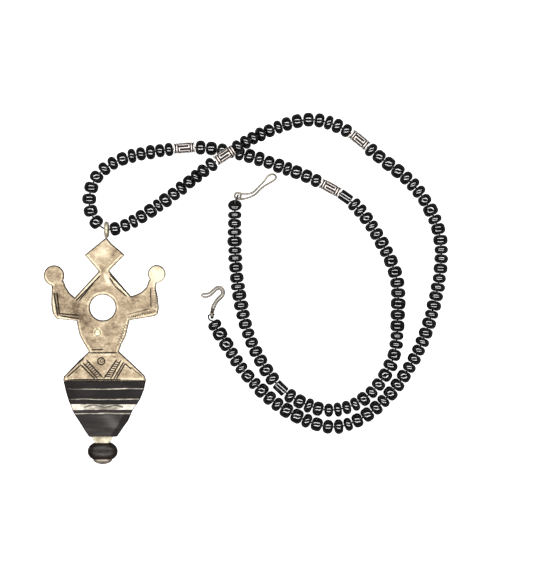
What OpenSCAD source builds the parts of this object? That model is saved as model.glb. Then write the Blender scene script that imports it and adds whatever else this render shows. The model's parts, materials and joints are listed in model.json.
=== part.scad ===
// Fertility-doll pendant of silver and ebony on a strand of black glass beads.
// Millimetres, +Z up. The necklace lies on the surface z = 0 and the origin is on that
// surface, under the middle of its box. +Y points from the doll's feet to its head.

/* [Strand] */
// outside diameter of a black glass bead
bead_d = 5.15; // [4:0.05:6]
// diameter of the hole through a bead
bead_hole_d = 1.7; // [1.2:0.1:2]
// radius of a bead's rounded edges
bead_round = 1.5; // [0.8:0.05:1.6]
// largest difference of a bead's diameter from bead_d
bead_vary = 0.3; // [0:0.01:0.4]
// how uneven the beads' widths are, as a share of the mean width
bead_uneven = 0.22; // [0:0.01:0.3]
// how far a bead leans on the thread, degrees
bead_lean = 4; // [0:0.5:8]
// free play between neighbours where the thread is straight
bead_gap = 0.17; // [0.05:0.01:0.3]
// thread diameter
thread_d = 0.6; // [0.3:0.1:1]

/* [Metal and glass tubes] */
// length of a silver tube
tube_len = 7.5; // [6:0.1:10]
// diameter of a silver tube over its relief
tube_d = 3.9; // [3:0.1:5]
// length of the meander field on a silver tube
field = 3.9; // [3:0.1:6]
// width of the raised lines on a silver tube
raised_w = 0.46; // [0.3:0.02:0.8]
// depth of the relief on a silver tube
relief = 0.3; // [0.1:0.05:0.5]
// length of a black tube
black_tube_len = 4.7; // [4:0.1:7]
// diameter of a black tube
black_tube_d = 3.8; // [3:0.1:5]
// diameter of the hole through every tube
tube_hole_d = 1.7; // [1.2:0.1:2]

/* [Layout] */
// how far the whole layout is moved in X, so that the origin is under its middle
layout_x = 1.5; // [-5:0.1:5]

/* [Crossing and bail] */
// where the clear bail gap lies along the thread, from the eye end
bail_at = 303.4; // [297:0.1:310]
// width of the gap that the bail ring hangs in
bail_gap = 2; // [1.8:0.1:4]
// where silver tube 2 lies over the other strand, from the eye end
crossing_at = 354.7; // [347:0.1:362]
// how high the strand climbs at the crossing
climb = 4.8; // [4:0.1:6]
// length of the ramp at each side of the crossing
ramp = 18; // [12:1:25]

/* [Pendant] */
// place of the chest hole's centre
pendant_x = -51.5; // [-60:0.5:-45]
// place of the chest hole's centre
pendant_y = -7; // [-15:0.5:0]
// height of the pendant's middle plane
mid_z = 2.95; // [2.5:0.05:4]
// thickness of the silver plate
plate_t = 1.4; // [1:0.1:2]
// radius of the chest hole
chest_r = 4.6; // [3:0.1:6]
// depth of the engraved lines
engrave = 0.2; // [0.1:0.05:0.4]
// wire diameter of the bail ring
bail_wire = 1.6; // [1:0.1:2]
// outside diameter of the bail ring
bail_d = 5.9; // [5:0.1:7]

/* [Ebony skirt] */
// thickness of the ebony along its ridge
skirt_t = 5.9; // [4:0.1:7]
// thickness of the ebony at its side edges
skirt_edge_t = 2.6; // [1.5:0.1:4]
// depth of the silver inlays
inlay_t = 0.5; // [0.3:0.05:1]
// diameter of the pin that holds the tip
pin_d = 1.6; // [1:0.1:2]

/* [Clasp] */
// wire diameter of the eye
eye_wire_d = 0.72; // [0.5:0.02:1]
// wire diameter of the hook
hook_wire_d = 0.74; // [0.5:0.02:1]

/* [Hidden] */
$fn = 48;
eps = 0.01;

silver = [0.78, 0.74, 0.66];
old_silver = [0.66, 0.65, 0.62];
ebony = [0.18, 0.16, 0.15];
black = [0.05, 0.05, 0.06];
thread_grey = [0.12, 0.12, 0.12];

// The way the strand lies, from the eye end past the pendant to the hook end.
route = [
  [-5.5, 31.7], [-5.5, 14], [-4, -2], [0.5, -19.5], [11, -36], [25, -43.5], [36, -42.5],
  [45, -36], [51.5, -25], [53, -11], [52.5, 4], [46, 18.5], [37, 30.5], [24, 38.5],
  [11.5, 43.5], [-2.5, 48], [-18, 50.5], [-36, 48.8], [-47.5, 45.8], [-54.8, 40.5],
  [-57.8, 33], [-56.5, 25.5], [-52, 21.2], [-45, 22.5], [-34, 29], [-20, 39.5],
  [-9, 47.5], [4.5, 55.5], [20.5, 60.5], [33, 57.5], [46, 47.5], [60, 35.5], [68, 19.5],
  [67.5, 0.5], [60, -23.5], [46, -42.5], [30.5, -50], [13, -44], [-1, -31.5], [-9.1, -19.4],
  [-13.6, -11.8]];

function unit(v) = v / norm(v);
function last(v) = v[len(v) - 1];
function sum(v, i = 0) = i < len(v) ? v[i] + sum(v, i + 1) : 0;

// Smooth curve through points: a cubic between each two, with n steps each.
function slope(p, i) =
  i == 0 ? unit(p[1] - p[0]) :
  i == len(p) - 1 ? unit(p[i] - p[i - 1]) :
  (p[i + 1] - p[i - 1]) / (norm(p[i + 1] - p[i]) + norm(p[i] - p[i - 1]));
function smooth(p, n) = concat([
  for (i = [0:len(p) - 2], k = [0:n - 1])
    let (t = k / n, d = norm(p[i + 1] - p[i]))
    (1 - 3 * t ^ 2 + 2 * t ^ 3) * p[i] + (t - 2 * t ^ 2 + t ^ 3) * d * slope(p, i)
    + (3 * t ^ 2 - 2 * t ^ 3) * p[i + 1] + (t ^ 3 - t ^ 2) * d * slope(p, i + 1)],
  [last(p)]);
function lengths(p) = [
  for (i = 0, s = 0; i < len(p);
    s = s + (i < len(p) - 1 ? norm(p[i + 1] - p[i]) : 0), i = i + 1) s];

line = [for (p = smooth(route, 10)) p + [layout_x, 0]];
line_s = lengths(line);
strand_len = last(line_s);
x_along = [for (i = [0:len(line) - 1]) [line_s[i], line[i].x]];
y_along = [for (i = [0:len(line) - 1]) [line_s[i], line[i].y]];

// Height that the thread gains near the crossing: level over the tube, then a ramp.
function lift(s) =
  let (d = max(0, abs(s - crossing_at) - tube_len / 2 - 0.5))
  d < ramp ? climb * cos(90 * d / ramp) ^ 2 : 0;
function spot(s) = [lookup(s, x_along), lookup(s, y_along), bead_d / 2 + 0.02 + lift(s)];
function heading(s) = unit(spot(s + 0.6) - spot(s - 0.6));

// Children stand at s along the strand, with their +X along the thread.
module on_strand(s) {
  d = heading(s);
  translate(spot(s)) rotate([0, -asin(d.z), atan2(d.y, d.x)]) children();
}

// Tube of radius r along a list of points that never runs straight up.
function ring(p, d, r, n) =
  let (side = unit(cross([0, 0, 1], d)), up = cross(d, side))
  [for (k = [0:n - 1]) p + r * (cos(360 * k / n) * side + sin(360 * k / n) * up)];
module swept(p, r, n = 8) {
  m = len(p);
  dirs = [for (i = [0:m - 1]) unit(p[min(i + 1, m - 1)] - p[max(i - 1, 0)])];
  polyhedron(
    [for (i = [0:m - 1]) each ring(p[i], dirs[i], r, n)],
    concat(
      [[for (k = [0:n - 1]) k]],
      [for (i = [0:m - 2], k = [0:n - 1])
        [i * n + k, (i + 1) * n + k, (i + 1) * n + (k + 1) % n, i * n + (k + 1) % n]],
      [[for (k = [n - 1:-1:0]) (m - 1) * n + k]]));
}

// ---- strand -------------------------------------------------------------------------

silver_tube_at = [248, crossing_at, 193, 408];
black_tube_at = [186.6, 71.5];

// The bead next to the eye tips up on the thread: its place, width, diameter and pitch.
first_at = 1.95;
first_w = 2.3;
first_d = 5.1;
first_pitch = 38;

// One stretch of beads: where it starts and ends, how many beads, and its own seed.
half_silver = tube_len / 2 + 0.1;
half_black = black_tube_len / 2 + 0.15;
stretches = [
  [4.05, black_tube_at[1] - half_black, 19, 11],
  [black_tube_at[1] + half_black, black_tube_at[0] - half_black, 30, 12],
  [silver_tube_at[2] + half_silver, silver_tube_at[0] - half_silver, 13, 13],
  [silver_tube_at[0] + half_silver, bail_at - bail_gap / 2, 13, 34],
  [bail_at + bail_gap / 2, silver_tube_at[1] - half_silver, 13, 15],
  [silver_tube_at[1] + half_silver, silver_tube_at[3] - half_silver, 13, 16],
  [silver_tube_at[3] + half_silver, strand_len, 51, 17]];

// Neighbours stand farther apart where the thread bends, as their inner edges touch.
function gaps(st) =
  let (step = (st[1] - st[0]) / st[2])
  [for (i = [0:st[2]])
    let (s = st[0] + i * step, a = heading(max(0.6, s - step / 2)),
      b = heading(min(strand_len - 0.6, s + step / 2)))
    bead_gap + (bead_d / 2 - 1.35) * PI / 180 * acos(min(1, a * b))];
function shares(n, seed) = rands(1 - bead_uneven, 1 + bead_uneven, n, seed);
function widths(st) =
  let (r = shares(st[2], st[3]), free = st[1] - st[0] - sum(gaps(st)))
  free / sum(r) * r;
function centres(st) =
  let (w = widths(st), g = gaps(st))
  [for (i = 0, s = st[0] + g[0] + w[0] / 2; i < st[2];
    s = s + (i < st[2] - 1 ? (w[i] + w[i + 1]) / 2 + g[i + 1] : 0), i = i + 1) s];

// A glass bead: a short barrel with flat ends and well rounded edges.
module bead(width, d) {
  r = min(bead_round, width / 2 - 0.1, (d - bead_hole_d) / 2 - 0.1);
  rotate([0, 90, 0]) rotate_extrude() {
    translate([bead_hole_d / 2, -width / 2]) square([d / 2 - r - bead_hole_d / 2, width]);
    difference() {
      union() {
        translate([0, r - width / 2]) square([d / 2, width - 2 * r]);
        for (end = [-1, 1]) translate([d / 2 - r, end * (width / 2 - r)]) circle(r = r);
      }
      translate([-width, -width]) square([width + bead_hole_d / 2, 2 * width]);
    }
  }
}

// Beads number first to last of a stretch, each leaning its own way and lying on its rim.
module beads(stretch, first, last) {
  st = stretches[stretch];
  w = widths(st);
  s = centres(st);
  vary = rands(-1, 1, 3 * st[2], st[3] + 100);
  color(black) for (i = [first:last]) {
    d = bead_d + bead_vary * vary[3 * i];
    translate([0, 0, (d - bead_d) / 2]) on_strand(s[i])
      rotate([0, 0.5 * bead_lean * vary[3 * i + 1], bead_lean * vary[3 * i + 2]])
        bead(w[i], d);
  }
}

first_up = [0, cos(first_pitch), sin(first_pitch)];
first_round = first_w / 2 - 0.1;
first_z = first_round + 0.1 * first_up.z + (first_d / 2 - first_round) * first_up.y + 0.05;
function first_spot(along = 0) =
  [route[0].x + layout_x, route[0].y - first_at, first_z] + along * first_up;
module first_bead() color(black) translate(first_spot()) rotate([first_pitch, 0, 0])
  rotate([0, 0, 90]) bead(first_w, first_d);

// The thread takes shorter steps where it bends more.
function bend(s) = acos(min(1, heading(s) * heading(min(s + 8, strand_len))));
thread_s = [for (s = 4.9; s < strand_len - 2;
  s = s + (bend(s) > 24 ? 3.8 : bend(s) > 12 ? 5.6 : 9)) s];

module stringing_thread() {
  color(thread_grey) swept(concat(
    [eye_at + [0.15, 0.15, 0.5], eye_at + [0, 0, 1.2], eye_at + [-0.15, -0.6, 1.9],
      first_spot(first_w / 2 + 0.2), first_spot(-0.2), first_spot(-first_w / 2 - 0.1)],
    [for (s = thread_s) spot(s)],
    [spot(strand_len), hook_at + [-0.8, -1.95, 0.7], hook_at + [-1.35, -1.1, 0.45],
      hook_at + [-1.35, -0.3, 0.05], hook_at + [-0.75, 0, 0], hook_at + [0.9, 0, 0]]),
    thread_d / 2);
}

// A silver tube: two ring lines at each end, and between them a raised line that winds
// up and down around the barrel, left standing between pockets that open in turn to one
// end of the field and the other.
module silver_tube(i) {
  core_r = tube_d / 2 - relief;
  pockets = 10;
  hand = i == 1 ? 1 : 0;
  line_angle = 2 * asin(raised_w / tube_d);
  ring_w = (tube_len - field - 4 * raised_w) / 4;
  color(old_silver) on_strand(silver_tube_at[i]) rotate([0, 90, 0]) difference() {
    cylinder(d = tube_d, h = tube_len, center = true);
    for (k = [0:pockets - 1]) rotate(360 * k / pockets + line_angle / 2)
      rotate_extrude(angle = 360 / pockets - line_angle)
        translate([core_r, -field / 2 + (k % 2 == hand ? -ring_w / 2 : raised_w)])
          square([2 * relief, field - raised_w + ring_w / 2]);
    for (end = [-1, 1], at = [field / 2 + ring_w / 2, field / 2 + raised_w + ring_w * 1.5])
      rotate_extrude() translate([core_r, end * at - ring_w / 2])
        square([2 * relief, ring_w]);
    cylinder(d = tube_hole_d, h = tube_len + 1, center = true);
  }
}

module black_tube(i) {
  color(black) on_strand(black_tube_at[i]) rotate([0, 90, 0]) rotate_extrude()
    difference() {
      translate([tube_hole_d / 2, -black_tube_len / 2])
        square([(black_tube_d - tube_hole_d) / 2, black_tube_len]);
      for (end = [-1, 1]) translate([black_tube_d / 2, end * black_tube_len / 2])
        rotate(45) square(0.8, center = true);
    }
}

// ---- clasp --------------------------------------------------------------------------

eye_at = [layout_x - 4.5, 33.25, 0];
hook_at = [layout_x - 13.7, -9.6, 1.6];
coil_r = 1.12;

// The eye's wire, seen from its coil: out along one leg, round the tip and back.
eye_line = [
  [0.1, 1.1, 0.38], [1.37, 0.78, 0.4], [3.35, 0.65, 0.4], [5.25, 1.1, 0.4],
  [6.2, 1.8, 0.4], [7.67, 3.35, 0.4], [9.6, 5.3, 0.4], [10.6, 6.8, 0.4],
  [11.55, 7.5, 0.4], [12.65, 7.7, 0.4], [13.55, 7.25, 0.4], [13.75, 6.4, 0.4],
  [12.95, 5.5, 0.4], [11.3, 4.5, 0.4], [9.75, 3.6, 0.4], [8.05, 2.2, 0.4],
  [6.6, 0.7, 0.4], [5.3, -0.1, 0.4], [3.4, -0.85, 0.42], [1.6, -1.2, 0.6],
  [0.1, -1.1, 0.98]];

// The hook from its coil to the folded tip: the middle of its two wires, and how far
// each wire is from that middle.
hook_line = [
  [0.15, 1.35, -0.3, 0.38], [0.2, 1.9, -0.7, 0.38], [0.55, 3, -1, 0.5],
  [1, 3.95, -1.15, 0.43], [1.5, 4.7, -1.2, 0.43], [2.45, 5.8, -1.2, 0.46],
  [3.45, 6.75, -1.2, 0.47], [3.9, 7.8, -1.2, 0.42], [3.7, 8.85, -1.2, 0.42],
  [2.75, 9.65, -1.2, 0.43], [1.65, 9.45, -1.2, 0.44], [0.3, 8.35, -1.2, 0.46],
  [-0.95, 7.3, -1.2, 0.5], [-2.5, 6.9, -1.2, 0.62], [-3.45, 7, -1.2, 0.45]];

// One of the two wires: the line moved sideways by its spread, to side 1 or -1.
function beside(p, side) = [
  for (i = [0:len(p) - 1])
    let (d = p[min(i + 1, len(p) - 1)] - p[max(i - 1, 0)], n = unit([-d.y, d.x]))
    [p[i].x + side * p[i][3] * n.x, p[i].y + side * p[i][3] * n.y, p[i].z]];
function reversed(p) = [for (i = [len(p) - 1:-1:0]) p[i]];
function folded(p) =
  let (d = last(p) - p[len(p) - 2], n = unit([d.x, d.y, 0]), e = last(p))
  concat(beside(p, 1), [[e.x, e.y, e.z] + e[3] * 0.9 * n], reversed(beside(p, -1)));

module coil(wire_d, turns) {
  for (k = [0:turns - 1]) translate([0, 0, 0.85 * wire_d * k]) rotate_extrude()
    translate([coil_r, 0]) circle(d = wire_d);
}

module eye_wire() {
  color(old_silver) translate(eye_at) {
    translate([0, 0, eye_wire_d / 2 + 0.01]) coil(eye_wire_d, 2);
    swept(smooth(eye_line, 4), eye_wire_d / 2 - 0.01);
  }
}

module hook_wire() {
  color(old_silver) translate(hook_at) {
    rotate([0, 90, 0]) translate([0, 0, -0.425 * hook_wire_d]) coil(hook_wire_d, 2);
    swept(folded(smooth(hook_line, 3)), hook_wire_d / 2);
  }
}

// ---- pendant ------------------------------------------------------------------------

// Everything on the pendant is drawn about the chest hole's centre.
module on_pendant() translate([pendant_x, pendant_y, mid_z]) children();

bail_y = 28;
bail_x = 1.4;
waist_y = -15.8;
skirt_top = -26.5;
skirt_end = -46.3;
cap_end = -48.2;
tip_y = -51.7;
tip_r = [5.4, 3.6, 2.85];
stud = [-1.8, -9];
band = [-36.7, -34.7];
line_w = 0.4;
line_y = [-29.2, -32.9, -38];

module head() polygon([[1.3, 25.2], [-6.5, 18.9], [-1.4, 13], [2.3, 13.2], [7.9, 18.9],
  [5.9, 20.7], [3.2, 22.9]]);

// Shoulders that slope from the neck to the armpits, the chest and the waist.
module trunk() polygon([[-1.4, 13], [-9.9, 3.8], [-9.3, -4.7], [-9, -7], [-8.3, -9.9],
  [-6.8, -12.8], [-4.9, waist_y], [-8.3, -18.9], [-14, -24.8], [-14.2, skirt_top],
  [15.7, skirt_top], [15.1, -24.5], [9.7, -19.3], [5.8, waist_y], [6.8, -13.1],
  [8.3, -10.3], [9, -7.4], [9.6, -4.5], [10.1, 4.1], [2.3, 13.2]]);

module left_arm() {
  polygon([[-9.8, 3.4], [-11.9, 5.2], [-13.3, 7.4], [-14, 9.5], [-18.2, 9.5],
    [-18.4, 4.1], [-18.5, 1.3], [-18, -2], [-16.6, -4.1], [-9, -4.8]]);
  translate([-17.5, 11.5]) circle(r = 3.7);
}

module right_arm() {
  polygon([[10, 4], [12.2, 4.7], [14, 5.6], [15.8, 7.4], [16.6, 9.9], [19.5, 10],
    [19.1, 7], [19.8, 3.8], [20.2, -0.2], [19.8, -2.3], [18.7, -3.1], [9.4, -4.6]]);
  translate([19.4, 12.1]) circle(r = 3.2);
}

// Engraved straight line from a to b, cut into the front face.
module groove(a, b, w = 0.32) {
  d = b - a;
  translate([a.x, a.y, plate_t / 2 - engrave]) rotate(atan2(d.y, d.x))
    translate([0, -w / 2, 0]) cube([norm(d), w, 1]);
}

engraved = [
  // shoulders
  [[-0.9, 11.4], [-9.6, 2.4]], [[-3.2, 8.8], [-8.4, 2.5]],
  [[2.6, 11.8], [9.6, 4.5]], [[2.5, 10.8], [4.3, 7.7]], [[4.3, 7.7], [8.6, 4]],
  // left arm
  [[-17.5, 5.1], [-16.1, -2.9]], [[-16.4, 5.3], [-15.5, -2.5]],
  [[-15.3, -2.2], [-8.3, -2.8]], [[-15.2, -3], [-8.6, -4.1]],
  // right arm
  [[17.2, 7], [17.4, 0.1]], [[19, 6.5], [19, 0]],
  [[8.6, -2.6], [17.2, -0.4]], [[8.8, -3.7], [18.8, -1.5]],
  // waist
  [[-4, -15.2], [0.3, -15.1]], [[-4.5, -16.3], [5, -16.2]],
  // yoke: the left band, the right band, and a line along each slope and the base
  [[-5.7, -18.9], [0, -25.1]], [[-6.9, -20], [-2, -25.4]], [[-7.8, -20.6], [-3, -25.5]],
  [[5, -18.8], [0.4, -25.5]], [[6.6, -18.9], [3, -25.5]], [[7.5, -19.7], [4.1, -25.5]],
  [[8.1, -20.2], [5, -25.5]], [[8.2, -20.2], [10.2, -22.1]],
  [[-8, -20.8], [-12.6, -24.9]], [[9.9, -21.3], [14, -24.7]],
  [[-12.4, -26], [6.2, -26]]];

// Short strokes that fill the two bands of the yoke.
hatch_n = 7;
function between(a, b, t) = a + t * (b - a);
hatched = [for (i = [1:hatch_n - 1], side = [0, 1])
  let (t = i / hatch_n)
  side == 0
    ? [between([-5.7, -18.9], [0, -25.1], t) + [-0.1, -0.25],
       between([-6.9, -20], [-2, -25.4], t) + [0.1, 0.1]]
    : [between([5, -18.8], [0.4, -25.5], t) + [0.1, 0],
       between([6.6, -18.9], [3, -25.5], t) + [-0.1, 0.35]]];

tang = [9, 10, 1];

module pendant_plate() {
  color(silver) on_pendant() difference() {
    union() {
      translate([0, 0, -plate_t / 2]) linear_extrude(plate_t) {
        head();
        trunk();
        left_arm();
        right_arm();
      }
      translate([-tang.x / 2, skirt_top - tang.y, -tang.z / 2])
        cube(tang + [0, 1, 0]);
    }
    cylinder(r = chest_r, h = 3 * plate_t, center = true);
    translate([stud.x, stud.y]) cylinder(d = 1.4, h = 3 * plate_t, center = true);
    bail_solid();
    for (g = engraved) groove(g[0], g[1]);
    for (g = hatched) groove(g[0], g[1], 0.25);
    translate([-0.5, -19.3, plate_t / 2 - engrave]) difference() {
      cylinder(r = 1.45, h = 1);
      cylinder(r = 1.1, h = 3, center = true);
    }
  }
}

module bail_solid() {
  translate([bail_x, bail_y, 0]) rotate([0, 90, 0]) rotate_extrude()
    translate([(bail_d - bail_wire) / 2, 0]) circle(d = bail_wire);
}

module bail_ring() color(silver) on_pendant() bail_solid();

module navel_stud() {
  color(silver) on_pendant() translate([stud.x, stud.y]) {
    translate([0, 0, -plate_t / 2]) cylinder(d = 1.4, h = plate_t + eps);
    translate([0, 0, plate_t / 2]) {
      for (side = [-1, 1]) translate([0, 0.5 * side, 0]) cylinder(d = 2.2, h = 0.7);
      translate([-1.1, -0.5, 0]) cube([2.2, 1, 0.7]);
    }
  }
}

// The ebony's outline from the top edge down, curving in to the tip cap.
module skirt_outline() polygon([[-14, skirt_top], [-13.3, -29.7], [-12.2, -33.3],
  [-10.8, -36.9], [-8.6, -40.5], [-6.3, -44.1], [-4.7, skirt_end], [5.2, skirt_end],
  [6.7, -44.1], [9.2, -40.5], [10.8, -36.9], [13.3, -33.3], [14.8, -29.7],
  [15.5, skirt_top]]);

// Cross-section in X and Z: flat ridges front and back, and bevelled sides.
module skirt_section(inset = 0) {
  t = skirt_t / 2 - inset;
  e = skirt_edge_t / 2 - inset;
  polygon([[-16, -e], [-9, -t], [6, -t], [17, -e], [17, e], [6, t], [-9, t], [-16, e]]);
}

module along_y(y0, y1) translate([0, y1, 0]) rotate([90, 0, 0])
  linear_extrude(y1 - y0) children();

module skirt_blank() intersection() {
  translate([0, 0, -5]) linear_extrude(10) skirt_outline();
  along_y(skirt_end - 1, skirt_top + 1) skirt_section();
}

// Silver let into the front of the ebony, from y0 to y1.
module inlay(y0, y1) intersection() {
  skirt_blank();
  along_y(y0, y1) difference() {
    skirt_section();
    skirt_section(inlay_t);
    translate([-20, -10]) square([40, 10]);
  }
}

module thin_inlay(i) inlay(line_y[i] - line_w / 2, line_y[i] + line_w / 2);

module pin() translate([0, tip_y - 4.2, 0]) rotate([-90, 0, 0])
  cylinder(d = pin_d, h = skirt_end - tip_y + 9.2);

module ebony_skirt() {
  color(ebony) on_pendant() difference() {
    skirt_blank();
    for (i = [0:2]) thin_inlay(i);
    inlay(band[0], band[1]);
    translate([-tang.x / 2, skirt_top - tang.y, -tang.z / 2]) cube(tang + [0, 1, 0]);
    pin();
  }
}

module inlay_upper() color(silver) on_pendant() thin_inlay(0);
module inlay_middle() color(silver) on_pendant() thin_inlay(1);
module inlay_lower() color(silver) on_pendant() thin_inlay(2);
module skirt_band() color(silver) on_pendant() inlay(band[0], band[1]);

module tip_cap() {
  color(silver) on_pendant() difference() {
    translate([0, 0, -2.1]) linear_extrude(4.2)
      polygon([[-4.1, skirt_end], [3.9, skirt_end], [2.3, cap_end - 0.4],
        [-2.4, cap_end - 0.4]]);
    tip_solid();
    pin();
  }
}

module tip_solid() translate([0, tip_y, 0]) scale(tip_r) sphere(r = 1, $fn = 32);

module tip_bead() color(ebony) on_pendant() difference() {
  tip_solid();
  pin();
}

module base_cap() {
  color(old_silver) on_pendant() {
    pin();
    difference() {
      translate([0, -54.6, 0]) scale([3.4, 1.7, 1.9]) sphere(r = 1, $fn = 32);
      tip_solid();
    }
  }
}

// -------------------------------------------------------------------------------------

pendant_plate();
bail_ring();
navel_stud();
ebony_skirt();
inlay_upper();
inlay_middle();
inlay_lower();
skirt_band();
tip_cap();
tip_bead();
base_cap();
stringing_thread();
union() {  // beads_1
  first_bead();
  beads(0, 0, 8);
}
beads(0, 9, 18);  // beads_2
beads(1, 0, 9);  // beads_3
beads(1, 10, 19);  // beads_4
beads(1, 20, 29);  // beads_5
beads(2, 0, 12);  // beads_6
beads(3, 0, 12);  // beads_7
beads(4, 0, 12);  // beads_8
beads(5, 0, 12);  // beads_9
beads(6, 0, 12);  // beads_10
beads(6, 13, 25);  // beads_11
beads(6, 26, 38);  // beads_12
beads(6, 39, 50);  // beads_13
silver_tube(0);  // silver_tube_1
silver_tube(1);  // silver_tube_2
silver_tube(2);  // silver_tube_3
silver_tube(3);  // silver_tube_4
black_tube(0);  // black_tube_1
black_tube(1);  // black_tube_2
eye_wire();
hook_wire();
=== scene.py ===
"""Looks of the fertility-doll necklace: glass beads, antiqued silver, sheet silver and ebony.

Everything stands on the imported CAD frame. Lengths are written in millimetres and times MM.
"""
import json
import math
import random

import bmesh
import bpy
import numpy as np
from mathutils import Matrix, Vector, geometry, noise
from mathutils.kdtree import KDTree


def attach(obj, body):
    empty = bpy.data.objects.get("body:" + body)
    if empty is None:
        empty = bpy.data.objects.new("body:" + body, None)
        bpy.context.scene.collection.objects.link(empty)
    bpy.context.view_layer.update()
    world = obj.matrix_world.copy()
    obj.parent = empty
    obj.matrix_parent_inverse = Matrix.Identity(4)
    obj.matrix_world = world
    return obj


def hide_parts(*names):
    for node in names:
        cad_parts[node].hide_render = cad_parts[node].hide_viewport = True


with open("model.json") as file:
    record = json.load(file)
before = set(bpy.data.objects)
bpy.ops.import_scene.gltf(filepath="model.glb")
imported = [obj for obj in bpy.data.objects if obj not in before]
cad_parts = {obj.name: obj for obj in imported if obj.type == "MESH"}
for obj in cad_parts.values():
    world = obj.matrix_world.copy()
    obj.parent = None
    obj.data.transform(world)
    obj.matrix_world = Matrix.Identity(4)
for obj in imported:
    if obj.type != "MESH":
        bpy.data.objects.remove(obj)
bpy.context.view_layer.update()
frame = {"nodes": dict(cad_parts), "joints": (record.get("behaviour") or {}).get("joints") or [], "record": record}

MM = 0.001
NODES = frame["nodes"]
MOUNTS = {m["name"]: m for m in frame["record"]["mounts"]}
JOINTS = {j["name"]: j for j in frame["joints"]}
HOLE = Vector(MOUNTS["chest_hole"]["pos_m"])
UP = Vector((0, 0, 1))

# ---- the strand's route, as the CAD lays it ------------------------------------------

LAYOUT_X = 1.5
BEAD_R = 2.595
# The upper strand's rise over the crossing: height, length of each slope and level length.
CLIMB, RAMP, LEVEL = 4.8, 18.0, 4.25
CROSSING_AT = 354.7
ROUTE = [
    (-5.5, 31.7), (-5.5, 14), (-4, -2), (0.5, -19.5), (11, -36), (25, -43.5),
    (36, -42.5), (45, -36), (51.5, -25), (53, -11), (52.5, 4), (46, 18.5), (37, 30.5),
    (24, 38.5), (11.5, 43.5), (-2.5, 48), (-18, 50.5), (-36, 48.8), (-47.5, 45.8),
    (-54.8, 40.5), (-57.8, 33), (-56.5, 25.5), (-52, 21.2), (-45, 22.5), (-34, 29),
    (-20, 39.5), (-9, 47.5), (4.5, 55.5), (20.5, 60.5), (33, 57.5), (46, 47.5),
    (60, 35.5), (68, 19.5), (67.5, 0.5), (60, -23.5), (46, -42.5), (30.5, -50),
    (13, -44), (-1, -31.5), (-9.1, -19.4), (-13.6, -11.8)]
EYE_AT = Vector((LAYOUT_X - 4.5, 33.25, 0))
HOOK_AT = Vector((LAYOUT_X - 13.7, -9.6, 1.6))
COIL_R = 1.12
THREAD_D = 0.6

# The bead next to the eye tips up on the thread.
FIRST_PITCH = math.radians(38)
FIRST_AT = Vector((ROUTE[0][0] + LAYOUT_X, ROUTE[0][1] - 1.95, 2.343))
FIRST_UP = Vector((0, math.cos(FIRST_PITCH), math.sin(FIRST_PITCH)))


def smooth_line(points, steps):
    """A cubic between each two points, as the CAD draws it, with steps to a stretch."""
    p = [Vector(q) for q in points]
    gaps = [(b - a).length for a, b in zip(p, p[1:])]

    def slope(i):
        """The direction of the line at one of its points."""
        if i in (0, len(p) - 1):
            a, b = (p[0], p[1]) if i == 0 else (p[-2], p[-1])
            return (b - a).normalized()
        return (p[i + 1] - p[i - 1]) / (gaps[i] + gaps[i - 1])

    out = []
    for i, gap in enumerate(gaps):
        for k in range(steps):
            t = k / steps
            out.append((1 - 3 * t**2 + 2 * t**3) * p[i] + (t - 2 * t**2 + t**3) * gap * slope(i)
                       + (3 * t**2 - 2 * t**3) * p[i + 1] + (t**3 - t**2) * gap * slope(i + 1))
    return out + [p[-1]]


def strand_line():
    """Points every millimetre or so along the strand in mm, climbing over the crossing."""
    flat = smooth_line([(x + LAYOUT_X, y, BEAD_R) for x, y in ROUTE], 10)
    s, out = 0.0, []
    for i, p in enumerate(flat):
        if i:
            s += (p - flat[i - 1]).length
        d = max(0.0, abs(s - CROSSING_AT) - LEVEL)
        rise = CLIMB * math.cos(math.pi / 2 * d / RAMP) ** 2 if d < RAMP else 0.0
        out.append(p + UP * rise)
    return out


STRAND = strand_line()

# ---- small mesh helpers --------------------------------------------------------------


def new_piece(name, bm, body, node, material):
    """Links a mesh as a smooth piece that rides on a body and stands for a CAD node."""
    bmesh.ops.recalc_face_normals(bm, faces=bm.faces)
    mesh = bpy.data.meshes.new(name)
    bm.to_mesh(mesh)
    bm.free()
    mesh.polygons.foreach_set("use_smooth", [True] * len(mesh.polygons))
    mesh.materials.append(material)
    obj = bpy.data.objects.new(name, mesh)
    bpy.context.scene.collection.objects.link(obj)
    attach(obj, body)
    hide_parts(node)
    return obj


def grid_faces(bm, rows, caps=False):
    """Joins rows of vertices, each row a ring, and closes both ends if there are caps."""
    n = len(rows[0])
    for a, b in zip(rows, rows[1:]):
        for k in range(n):
            bm.faces.new((a[k], b[k], b[(k + 1) % n], a[(k + 1) % n]))
    if caps:
        bm.faces.new(rows[0])
        bm.faces.new(list(reversed(rows[-1])))


def axes_of(direction):
    """Two unit vectors square to a direction and to each other."""
    d = direction.normalized()
    side = d.cross(UP if abs(d.z) < 0.9 else Vector((1, 0, 0))).normalized()
    return side, d.cross(side).normalized()


def solids(node):
    """The corners of each separate solid of a CAD node, as numpy arrays."""
    bm = bmesh.new()
    bm.from_mesh(NODES[node].data)
    bmesh.ops.remove_doubles(bm, verts=bm.verts, dist=1e-7)
    bm.verts.ensure_lookup_table()
    seen, out = set(), []
    for start in bm.verts:
        if start.index in seen:
            continue
        seen.add(start.index)
        stack, part = [start], []
        while stack:
            v = stack.pop()
            part.append(v.co[:])
            for e in v.link_edges:
                w = e.other_vert(v)
                if w.index not in seen:
                    seen.add(w.index)
                    stack.append(w)
        out.append(np.array(part))
    bm.free()
    return out


def ring_angles(count):
    """Evenly spaced angles round a full turn."""
    return [2 * math.pi * k / count for k in range(count)]


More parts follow.
